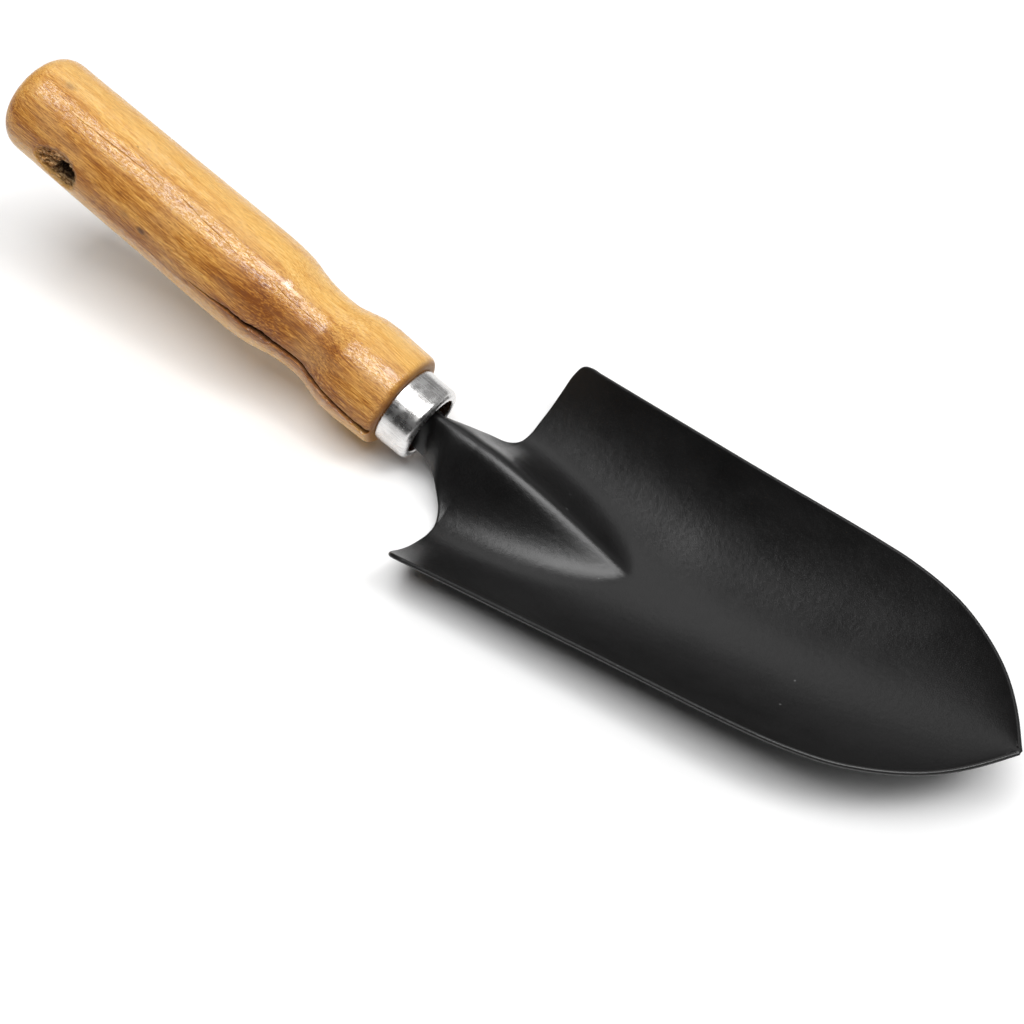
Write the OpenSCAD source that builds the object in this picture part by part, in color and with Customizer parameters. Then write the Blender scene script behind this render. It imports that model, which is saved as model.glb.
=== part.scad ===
// Hand trowel: a turned wooden handle, a pressed steel ferrule and one
// pressed steel blade whose neck runs back into the handle as a tang.
// Millimetres, +Z up. +X runs from the butt of the handle to the tip of the
// blade, Y runs across, and Z = 0 is the surface that the trowel lies on.

/* [Handle] */
// Length of the wooden handle, from its butt to its shoulder at the ferrule
handle_len = 131.5; // [120:0.5:145]
// Largest diameter of the grip
grip_d = 29.4; // [26:0.2:33]
// Radius of the rounded edge at the butt
butt_round = 6.3; // [4:0.1:8]
// Angle by which the handle rises from the surface that the blade lies on
crank_angle = 16.9; // [14:0.1:20]

/* [Hang hole] */
// Diameter of the hang hole through the handle
hole_d = 7.6; // [5:0.1:9]
// Distance of the hang hole's axis from the butt
hole_from_butt = 24.5; // [18:0.5:30]
// Height of the hang hole's axis over the handle's axis
hole_up = 1.0; // [0:0.1:2]

/* [Ferrule] */
// Length of the ferrule
ferrule_len = 9.7; // [9:0.1:12]
// Outer diameter of the ferrule at the wood
ferrule_d = 22.0; // [21.6:0.1:23]
// Thickness of the ferrule's wall
ferrule_wall = 1.0; // [0.8:0.1:1.2]
// Diameter of the opening inside the rolled-in lip
lip_d = 16.8; // [16.2:0.1:17.4]

/* [Tang socket] */
// Length of the wooden tenon inside the ferrule
tenon_len = 5.0; // [4:0.1:6]
// Diameter of the bore that takes the tang
socket_d = 10.4; // [10:0.1:11]
// Depth of that bore behind the handle's shoulder
socket_depth = 54; // [52:1:60]

/* [Blade] */
// Thickness of the coated sheet
sheet_t = 1.2; // [1.0:0.1:1.5]
// Half the width of the blade at its rear corners
half_w = 40.2; // [36:0.2:44]
// Distance of the tip ahead of the handle's shoulder
tip_x = 178.9; // [176:0.1:186]
// Depth of the scoop's floor below the handle's shoulder
floor_drop = 15.6; // [13:0.1:17]
// Height of the pressed rib over the floor, at the neck
rib_h = 17.6; // [15:0.1:19]
// Length of the rib ahead of the rear edge
rib_len = 48; // [42:1:54]

/* [Hidden] */
$fn = 96;

// The handle's shoulder, on the handle's axis, in the part's frame
shoulder_x = -25.48;
shoulder_z = floor_drop + sheet_t / 2;
ca = cos(crank_angle);
sa = sin(crank_angle);

function ramp(a, b, x) = let (t = min(1, max(0, (x - a) / (b - a)))) t * t * (3 - 2 * t);
// Catmull-Rom curve through p, whose points are evenly spaced in t
function knot(p, i) = p[min(len(p) - 1, max(0, i))];
function curve(p, t) = let (i = min(len(p) - 2, floor(t)), f = t - i,
    a = knot(p, i - 1), b = knot(p, i), c = knot(p, i + 1), d = knot(p, i + 2))
    0.5 * (2 * b + (c - a) * f + (2 * a - 5 * b + 4 * c - d) * f * f + (3 * b - a - 3 * c + d) * f * f * f);

// Maps the handle's own frame, with its axis along X, into the part's frame
module on_handle() {
    translate([shoulder_x, 0, shoulder_z]) rotate([0, crank_angle, 0]) children();
}

// ---- handle -------------------------------------------------------------
// [part of the length from the butt, part of the largest radius]
GRIP = [[0.048, 0.959], [0.09, 0.957], [0.15, 0.963], [0.22, 0.968], [0.30, 0.974], [0.38, 0.981],
        [0.46, 0.990], [0.54, 0.997], [0.60, 1.000], [0.645, 0.990], [0.68, 0.957], [0.71, 0.895],
        [0.74, 0.845], [0.775, 0.818], [0.81, 0.827], [0.84, 0.888], [0.87, 0.952], [0.905, 0.968],
        [0.945, 0.957], [0.985, 0.944]];

function butt_arc(n = 10) = let (r = GRIP[0][1] * grip_d / 2 - 0.05)
    [for (i = [0 : n]) let (a = 90 * i / n) [r - butt_round + butt_round * sin(a), butt_round * (1 - cos(a))]];
function grip_line(n = 4) = [for (i = [1 : (len(GRIP) - 1) * n]) let (p = curve(GRIP, i / n))
    [p[1] * grip_d / 2, p[0] * handle_len]];
function shoulder_arc(n = 6) = let (r = GRIP[len(GRIP) - 1][1] * grip_d / 2, h = handle_len * 0.015)
    [for (i = [1 : n]) let (a = 90 * i / n) [r - h * (1 - cos(a)), handle_len - h + h * sin(a)]];

tenon_r = ferrule_d / 2 - ferrule_wall - 0.15;

module handle() {
    color("burlywood") on_handle()
    difference() {
        translate([-handle_len, 0, 0]) rotate([0, 90, 0])
        rotate_extrude() polygon(concat([[0, 0]], butt_arc(), grip_line(), shoulder_arc(),
            [[tenon_r, handle_len], [tenon_r, handle_len + tenon_len - 0.6],
             [tenon_r - 0.6, handle_len + tenon_len], [0, handle_len + tenon_len]]));
        // hang hole
        translate([-handle_len + hole_from_butt, 0, hole_up]) rotate([90, 0, 0])
            cylinder(d = hole_d, h = 60, center = true);
        // socket for the tang, with a countersunk mouth
        translate([-socket_depth, 0, 0]) rotate([0, 90, 0]) cylinder(d = socket_d, h = socket_depth + tenon_len + 1);
        translate([-4, 0, 0]) rotate([0, 90, 0]) cylinder(d1 = socket_d, d2 = 16.4, h = tenon_len + 4.01);
    }
}

// ---- ferrule ------------------------------------------------------------
// A thin cup with an open front, whose lip is rolled inward
function roll(r0, r1, n = 8) = [for (i = [0 : n]) let (a = 90 * i / n)
    [r0 - (r0 - r1) * (1 - cos(a)), ferrule_len - (r0 - r1) + (r0 - r1) * sin(a)]];

module ferrule() {
    ro = ferrule_d / 2;
    rf = ro - 0.15;
    bend = 1.7;
    tip_r = 0.45;
    rl = lip_d / 2;
    color("silver") on_handle() rotate([0, 90, 0]) rotate_extrude() polygon(concat(
        [[ro - ferrule_wall, 0], [ro - 0.25, 0], [ro, 0.25]],
        [for (i = [0 : 8]) let (a = 90 * i / 8)
            [rf - bend * (1 - cos(a)), ferrule_len - bend + bend * sin(a)]],
        [for (i = [0 : 6]) let (a = 180 * i / 6)
            [rl + tip_r - tip_r * sin(a), ferrule_len - ferrule_wall / 2 + ferrule_wall / 2 * cos(a)]],
        [for (i = [0 : 6]) let (a = 90 * i / 6, b = bend - ferrule_wall)
            [rf - bend + b * sin(a), ferrule_len - bend + b * cos(a)]]));
}

// ---- blade --------------------------------------------------------------
// All heights here are of the middle of the sheet over the handle's shoulder,
// and x is measured ahead of the shoulder along the surface below.
rear_x = 25;
neck_x = 11;
// half width of the outline ahead of the rear corner: a straight taper and a pointed arch
WIDE = [[28, 1], [47, 0.962], [66, 0.926], [85, 0.890], [104, 0.859], [114, 0.843], [123, 0.825], [132, 0.800],
        [141, 0.756], [148, 0.702], [155, 0.618], [161, 0.525], [166, 0.425], [170, 0.322],
        [173.4, 0.216], [176, 0.122], [177.8, 0.052], [178.9, 0.012]];
// the neck's outline and the rear edge: [x, y, x of the same row on the centre line]
REAR = [[11, 5.6, 11], [13, 6.3, 13], [15.3, 7.5, 15.6], [18, 9.5, 18.6], [20.5, 11.8, 21.8], [22.8, 14.2, 25],
        [24.4, 17.2, 28.2], [25, 21, 31.4], [25.1, 25.6, 34.6], [25.6, 30.2, 37.8], [26.2, 34.4, 41],
        [26.9, 37.4, 44], [28.4, 39.5, 47], [31.6, 39.95, 50]];

function seg(p, x, i = 0) = (i >= len(p) - 2 || x < p[i + 1][0]) ? i : seg(p, x, i + 1);
function look(p, x) = let (i = seg(p, x), t = (x - p[i][0]) / (p[i + 1][0] - p[i][0]),
    d0 = (p[i + 1][1] - p[i][1]), dm = i > 0 ? (p[i][1] - p[i - 1][1]) * (p[i + 1][0] - p[i][0]) / (p[i][0] - p[i - 1][0]) : d0,
    dp = i < len(p) - 2 ? (p[i + 2][1] - p[i + 1][1]) * (p[i + 1][0] - p[i][0]) / (p[i + 2][0] - p[i + 1][0]) : d0,
    m0 = (d0 + dm) / 2, m1 = (d0 + dp) / 2)
    p[i][1] + m0 * t + (3 * d0 - 2 * m0 - m1) * t * t + (m0 + m1 - 2 * d0) * t * t * t;

// the outline's half width, with the rear corner's value carried straight back
stretch = tip_x - 178.9;
function xin(x) = x - stretch * ramp(40, 140, x);
function wide(x) = half_w * (x < 28 ? 1 + (28 - x) * 0.002 : look(WIDE, min(178.9, xin(x))));
// height of the rim
function rim(x) = let (q = xin(x)) q < 130 ? -0.2 + 0.0505 * (q - 27.8) : 4.96 + 0.34 * ramp(120, 142, q) - 0.17 - 0.45 * ramp(146, 172, q) + 0.2 * ramp(168, 179, q);
// height of the floor's centre line: level, then rising to the tip
rise = floor_drop + 4.7;
function bed(x) = let (q = xin(x)) -floor_drop - 1.0 * pow(max(0, (60 - q) / 35), 2)
    + rise * pow(max(0, (q - 80) / 98.9), 1.75);
// the scoop's section: flat in the middle at the rear, a plain arc ahead
function bow(x) = 2.2 + 1.0 * (1 - ramp(30, 115, x));
function trough(x, y) = bed(x) + (rim(x) - bed(x)) * pow(min(1.1, abs(y) / wide(x)), bow(x));
// the rib: its half width and height, and a section with straight flanks, a rounded crest and a soft foot
rib_w0 = 20.8;
function rib_u(x) = min(1, max(0, (x - rear_x) / rib_len));
function rib_w(x) = rib_w0 * pow(1 - pow(rib_u(x), 1.85), 0.58);
function rib_top(x) = let (h = (rib_h + 0.9) * (1 - pow(rib_u(x), 1.3))) h * h / (h + 0.9);
function tent(s, e) = (sqrt(s * s + e * e) - e) / (sqrt(1 + e * e) - e);
function rib(x, y) = let (b = 1.38 * rib_w(x)) (b < 0.01 || abs(y) >= b) ? 0 : rib_top(x) * pow(1 - tent(abs(y) / b, 0.13), 2.9);
function front(x, y) = trough(x, y) + rib(x, y);
// the neck, behind the rear edge: a half round channel that opens into the rib
NECK = [for (r = REAR) if (r[0] < 25) [r[0], r[1]]];
function neck_w(x) = x >= 24.4 ? 17.2 + (20.8 - 17.2) * min(1, (x - 24.4) / 0.6) : look(NECK, x);
function arch(s) = 0.35 * (1 - sqrt(1 - pow(0.97 * min(1, s), 2))) / (1 - sqrt(1 - 0.97 * 0.97)) + 0.65 * tent(min(1, s), 0.16);
function mixed(x) = ramp(13, 23.5, x);
function crest(x) = front(rear_x, 0) + 0.20 * (rear_x - x) - 0.006 * pow(rear_x - x, 2);
function neck(x, y) = let (m = mixed(x), w = neck_w(x), s = min(1, abs(y) / w),
    full = front(rear_x, 0) - front(rear_x, w),
    part = (front(rear_x, 0) - front(rear_x, s * w)) / full)
    crest(x) - ((1 - m) * 10.2 + m * full) * ((1 - m) * arch(s) + m * part);
function height(x, y) = x < rear_x ? neck(x, y) : front(x, y);

COLS = 14;
TOP = 76;
// across a row, v runs from 0 on the centre line to 1 on the outline
function across(v, m) = (1 - m) * sin(TOP * v) / sin(TOP) + m * v;
// one row of the blade: [outline x, outline y, centre x]
function blade_row(r) = [for (j = [-COLS : COLS]) let (v = abs(j) / COLS, m = ramp(11, 24, r[2]),
    s = across(v, m), x = r[2] + (r[0] - r[2]) * s, y = r[1] * s)
    [x, sign(j) * y, height(x, y)]];
// the tang, in the handle's own frame: [x, half width, top, lower edge]
TANG = [[-49, 1.0, 0.6, -0.5], [-48, 1.5, 0.9, -0.7], [-40, 2.0, 1.4, -0.9], [-30, 2.6, 2.0, -1.2],
        [-20, 3.1, 2.6, -1.5], [-10, 3.5, 3.1, -1.8], [-3, 3.8, 3.5, -2.1], [1.5, 4.2, 4.0, -2.6],
        [5, 4.7, 4.7, -3.4], [8, 5.1, 5.2, -4.0]];
function tang_row(r) = [for (j = [-COLS : COLS]) let (v = abs(j) / COLS, y = r[1] * sin(TOP * v) / sin(TOP),
    z = r[2] - (r[2] - r[3]) * (1 - cos(TOP * v)) / (1 - cos(TOP)))
    [r[0] * ca + z * sa, sign(j) * y, -r[0] * sa + z * ca]];

SIDE = concat([34, 37, 40.5, 44.5, 49, 54, 59.5, 65], [for (x = [71.5 : 7 : 134.5]) x],
    [140.5, 146, 151, 155.5, 159.5, 163, 166, 168.8, 171.2, 173.4, 175.2, 176.7, 177.8, 178.5, 178.9]);
function unxin(q) = q + stretch * ramp(40, 140, q);
ROWS = concat(
    [for (r = TANG) tang_row(r)],
    [for (r = REAR) blade_row([r[0], r[1] * (r[0] < 25 ? 1 : half_w / 40.2), r[2]])],
    [for (q = SIDE) let (x = unxin(q), c = x + 18.2 * pow(max(0, (104 - x) / 72.4), 1.6)) blade_row([x, wide(x), c])]);
NR = len(ROWS);
NC = 2 * COLS + 1;

function unit(v) = v / max(1e-9, norm(v));
function normal(i, j) = unit(cross(
    ROWS[min(NR - 1, i + 1)][j] - ROWS[max(0, i - 1)][j],
    ROWS[i][min(NC - 1, j + 1)] - ROWS[i][max(0, j - 1)]));

module blade() {
    up = [for (i = [0 : NR - 1]) for (j = [0 : NC - 1]) ROWS[i][j] + normal(i, j) * sheet_t / 2];
    dn = [for (i = [0 : NR - 1]) for (j = [0 : NC - 1]) ROWS[i][j] - normal(i, j) * sheet_t / 2];
    n = NR * NC;
    function id(i, j) = i * NC + j;
    skin = [for (i = [0 : NR - 2]) for (j = [0 : NC - 2]) each
        ((j < COLS) ?
        [[id(i, j), id(i, j + 1), id(i + 1, j)], [id(i, j + 1), id(i + 1, j + 1), id(i + 1, j)]] :
        [[id(i, j), id(i, j + 1), id(i + 1, j + 1)], [id(i, j), id(i + 1, j + 1), id(i + 1, j)]])];
    under = [for (f = skin) [n + f[2], n + f[1], n + f[0]]];
    rimf = concat(
        [for (i = [0 : NR - 2]) each [[id(i, 0), id(i + 1, 0), n + id(i, 0)], [id(i + 1, 0), n + id(i + 1, 0), n + id(i, 0)]]],
        [for (i = [0 : NR - 2]) let (j = NC - 1) each [[id(i + 1, j), id(i, j), n + id(i, j)], [id(i + 1, j), n + id(i, j), n + id(i + 1, j)]]],
        [for (j = [0 : NC - 2]) each [[id(0, j + 1), id(0, j), n + id(0, j)], [id(0, j + 1), n + id(0, j), n + id(0, j + 1)]]],
        [for (j = [0 : NC - 2]) let (i = NR - 1) each [[id(i, j), id(i, j + 1), n + id(i, j)], [id(i, j + 1), n + id(i, j + 1), n + id(i, j)]]]);
    color([0.16, 0.16, 0.17]) translate([shoulder_x, 0, shoulder_z])
        polyhedron(points = concat(up, dn), faces = concat(skin, under, rimf));
}

handle();
ferrule();
blade();
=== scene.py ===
import math

import bpy
import bmesh
import numpy as np
from mathutils import Matrix, Vector


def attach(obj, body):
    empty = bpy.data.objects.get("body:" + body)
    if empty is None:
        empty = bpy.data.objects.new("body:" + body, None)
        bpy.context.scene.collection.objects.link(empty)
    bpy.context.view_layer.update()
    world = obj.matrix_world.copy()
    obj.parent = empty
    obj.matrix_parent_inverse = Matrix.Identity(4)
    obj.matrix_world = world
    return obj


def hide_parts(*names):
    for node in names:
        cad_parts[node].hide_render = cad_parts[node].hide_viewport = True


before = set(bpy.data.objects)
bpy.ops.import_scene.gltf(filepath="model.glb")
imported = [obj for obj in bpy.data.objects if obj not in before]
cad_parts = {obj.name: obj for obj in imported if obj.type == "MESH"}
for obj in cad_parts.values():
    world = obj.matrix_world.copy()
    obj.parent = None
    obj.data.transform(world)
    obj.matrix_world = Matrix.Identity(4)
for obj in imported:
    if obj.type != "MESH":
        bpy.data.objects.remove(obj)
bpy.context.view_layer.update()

MM = 0.001
scene = bpy.context.scene

# ---------------------------------------------------------------- the frame
# The handle's own frame: its axis is X, its shoulder at the ferrule is x = 0.
# The box of the CAD blade places the shoulder, as the blade's tip is 178.9 mm ahead of it.
CRANK = math.radians(16.9)
CA, SA = math.cos(CRANK), math.sin(CRANK)
SHX, SHZ = -25.48, 16.2
ON_HANDLE = Matrix.Translation((SHX * MM, 0, SHZ * MM)) @ Matrix.Rotation(CRANK, 4, "Y")


# ---------------------------------------------------------------- numbers
def ramp(a, b, x):
    t = np.clip((np.asarray(x, float) - a) / (b - a), 0, 1)
    return t * t * (3 - 2 * t)


def herm(xk, yk, x, weighted=False):
    """A smooth curve through the knots; yk may hold several values a knot."""
    xk, yk = np.asarray(xk, float), np.asarray(yk, float)
    x = np.clip(np.asarray(x, float), xk[0], xk[-1])
    h = np.diff(xk)
    hs = h.reshape(-1, *([1] * (yk.ndim - 1)))
    s = np.diff(yk, axis=0) / hs
    m = np.empty_like(yk)
    m[0], m[-1] = s[0], s[-1]
    if weighted:
        m[1:-1] = (hs[:-1] * s[1:] + hs[1:] * s[:-1]) / (hs[:-1] + hs[1:])
    else:
        m[1:-1] = (s[:-1] + s[1:]) / 2
    i = np.clip(np.searchsorted(xk, x, side="right") - 1, 0, len(h) - 1)
    t = (x - xk[i]) / h[i]
    if yk.ndim > 1:
        t = t.reshape(*t.shape, *([1] * (yk.ndim - 1)))
    hi = hs[i] if yk.ndim > 1 else h[i]
    t2, t3 = t * t, t * t * t
    return (2 * t3 - 3 * t2 + 1) * yk[i] + (t3 - 2 * t2 + t) * hi * m[i] + (3 * t2 - 2 * t3) * yk[i + 1] + (t3 - t2) * hi * m[i + 1]


def _hash(ix, iy, seed):
    n = (ix.astype(np.int64) * 374761393 + iy.astype(np.int64) * 668265263 + seed * 974634777) & 0xFFFFFFFF
    n = ((n ^ (n >> 13)) * 1274126177) & 0xFFFFFFFF
    n = n ^ (n >> 16)
    return (n & 0xFFFF) / 32767.5 - 1


def noise(x, y, seed=1, octaves=1):
    """Smooth noise from -1 to 1, the same on each run."""
    x, y = np.broadcast_arrays(np.asarray(x, float), np.asarray(y, float))
    total, amp, norm = np.zeros(x.shape), 1.0, 0.0
    for o in range(octaves):
        ix, iy = np.floor(x), np.floor(y)
        fx, fy = x - ix, y - iy
        fx, fy = fx * fx * fx * (fx * (fx * 6 - 15) + 10), fy * fy * fy * (fy * (fy * 6 - 15) + 10)
        a, b = _hash(ix, iy, seed + o), _hash(ix + 1, iy, seed + o)
        c, d = _hash(ix, iy + 1, seed + o), _hash(ix + 1, iy + 1, seed + o)
        total += amp * ((a * (1 - fx) + b * fx) * (1 - fy) + (c * (1 - fx) + d * fx) * fy)
        norm += amp
        amp *= 0.5
        x, y = x * 2.03 + 7.1, y * 2.03 + 3.7
    return total / norm


def ring_noise(x, a, sx, turns, seed, octaves=1):
    """Noise on a turned surface, without a seam at the angle's wrap."""
    t = np.mod(a, 2 * np.pi) / (2 * np.pi)
    n0 = noise(x * sx, t * turns, seed, octaves)
    n1 = noise(x * sx, (t - 1) * turns, seed, octaves)
    w = ramp(0.85, 1.0, t)
    return n0 * (1 - w) + n1 * w


# ---------------------------------------------------------------- mesh help
def make_object(name, verts, faces, smooth=True, attributes=None):
    me = bpy.data.meshes.new(name)
    me.from_pydata([tuple(v) for v in verts], [], faces)
    me.validate()
    me.update()
    if smooth:
        me.polygons.foreach_set("use_smooth", [True] * len(me.polygons))
    for key, values in (attributes or {}).items():
        att = me.attributes.new(key, "FLOAT", "POINT")
        att.data.foreach_set("value", np.asarray(values, np.float32))
    ob = bpy.data.objects.new(name, me)
    scene.collection.objects.link(ob)
    return ob


def drop_flaps(ob):
    """Takes out pairs of triangles that lie exactly on each other, which faces that share two edges leave."""
    bm = bmesh.new()
    bm.from_mesh(ob.data)
    bmesh.ops.remove_doubles(bm, verts=bm.verts, dist=3e-8)
    bm.to_mesh(ob.data)
    for _ in range(3):
        ob.data.calc_loop_triangles()
        seen, bad = {}, set()
        for lt in ob.data.loop_triangles:
            k = tuple(sorted(lt.vertices))
            if k in seen:
                bad.update((seen[k], lt.polygon_index))
            seen[k] = lt.polygon_index
        if not bad:
            break
        bm.faces.ensure_lookup_table()
        faces = [bm.faces[i] for i in sorted(bad)]
        many = [f for f in faces if len(f.verts) > 3]
        tris = [f for f in faces if len(f.verts) == 3]
        if many:
            tris += bmesh.ops.triangulate(bm, faces=many, quad_method="FIXED", ngon_method="EAR_CLIP")["faces"]
        bm.verts.index_update()
        seen, twins = {}, set()
        for f in tris:
            k = tuple(sorted(v.index for v in f.verts))
            if k in seen:
                twins.update((seen[k], f))
            seen[k] = f
        bmesh.ops.delete(bm, geom=[f for f in bm.faces if f in twins], context="FACES")
        bm.to_mesh(ob.data)
    bm.free()
    print("FLAPS", ob.name, len(bad))


def sharpen(ob, degrees):
    """Marks the edges that turn by more than this, so that smooth shading stops at them."""
    bm = bmesh.new()
    bm.from_mesh(ob.data)
    lim = math.radians(degrees)
    for e in bm.edges:
        if len(e.link_faces) == 2 and e.calc_face_angle(0) > lim:
            e.smooth = False
    bm.to_mesh(ob.data)
    bm.free()


# ================================================================ the blade
HALF_W, TIP, DROP, RIB_H, RIB_LEN, THICK = 40.2, 178.9, 15.6, 17.6, 48.0, 1.2
WIDE = np.array([(28, 1), (47, .962), (66, .926), (85, .890), (104, .859), (114, .843), (123, .825), (132, .800),
                 (141, .756), (148, .702), (155, .618), (161, .525), (166, .425), (170, .322),
                 (173.4, .216), (176, .122), (177.8, .052), (178.9, .012)])
REAR = np.array([(11, 5.6, 11), (13, 6.3, 13), (15.3, 7.5, 15.6), (18, 9.5, 18.6), (20.5, 11.8, 21.8), (22.8, 14.2, 25),
                 (24.4, 17.2, 28.2), (25, 21, 31.4), (25.1, 25.6, 34.6), (25.6, 30.2, 37.8), (26.2, 34.4, 41),
                 (26.9, 37.4, 44), (28.4, 39.5, 47), (31.6, 39.95, 50)])
TANG = np.array([(-49, 1.0, .6, -.5), (-48, 1.5, .9, -.7), (-40, 2, 1.4, -.9), (-30, 2.6, 2, -1.2),
                 (-20, 3.1, 2.6, -1.5), (-10, 3.5, 3.1, -1.8), (-3, 3.8, 3.5, -2.1), (1.5, 4.2, 4, -2.6),
                 (5, 4.7, 4.7, -3.4), (8, 5.1, 5.2, -4.0)])


def wide(x):
    return HALF_W * np.where(x < 28, 1 + (28 - x) * .002, herm(WIDE[:, 0], WIDE[:, 1], x))


def rim(x):
    return np.where(x < 130, -.2 + .0505 * (x - 27.8),
                    4.96 + .34 * ramp(120, 142, x) - .17 - .45 * ramp(146, 172, x) + .2 * ramp(168, 179, x))


def bed(x):
    return -DROP - 1.0 * (np.maximum(0, (60 - x) / 35)) ** 2 + (DROP + 4.7) * (np.maximum(0, (x - 80) / 98.9)) ** 1.75


def trough(x, y):
    bow = 2.2 + 1.0 * (1 - ramp(30, 115, x))
    return bed(x) + (rim(x) - bed(x)) * np.minimum(1.1, np.abs(y) / wide(x)) ** bow


def tent(s, e):
    """From 0 to 1 along a straight flank, with a rounded start."""
    return (np.sqrt(s * s + e * e) - e) / (math.sqrt(1 + e * e) - e)


def rib(x, y):
    u = np.clip((x - 25) / RIB_LEN, 0, 1)
    b = 20.8 * (1 - u ** 1.85) ** .58
    h = (RIB_H + .9) * (1 - u ** 1.3)
    top = h * h / (h + .9)
    s = np.abs(y) / np.maximum(1.38 * b, 1e-6)
    return np.where((b > .01) & (s < 1), top * np.power(np.clip(1 - tent(s, .13), 0, 1), 2.9), 0)


def front(x, y):
    return trough(x, y) + rib(x, y)


F0 = float(front(np.array(25.0), np.array(0.0)))
NECK = REAR[REAR[:, 0] < 25]


def neck(x, y):
    m = ramp(13, 23.5, x)
    w = np.where(x >= 24.4, 17.2 + 3.6 * np.minimum(1, (x - 24.4) / .6), herm(NECK[:, 0], NECK[:, 1], x))
    s = np.minimum(1, np.abs(y) / w)
    at = np.full_like(np.asarray(x, float), 25.0)
    full = F0 - front(at, w)
    part = (F0 - front(at, s * w)) / full
    arch = .35 * (1 - np.sqrt(1 - (.97 * s) ** 2)) / (1 - math.sqrt(1 - .97 ** 2)) + .65 * tent(s, .16)
    return F0 + .20 * (25 - x) - .006 * (25 - x) ** 2 - ((1 - m) * 10.2 + m * full) * ((1 - m) * arch + m * part)


def height(x, y):
    return np.where(x < 25, neck(np.minimum(x, 25), y), front(np.maximum(x, 25), y))


def centre_x(x):
    return x + 18.2 * (np.maximum(0, (104 - x) / 72.4)) ** 1.6


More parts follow.
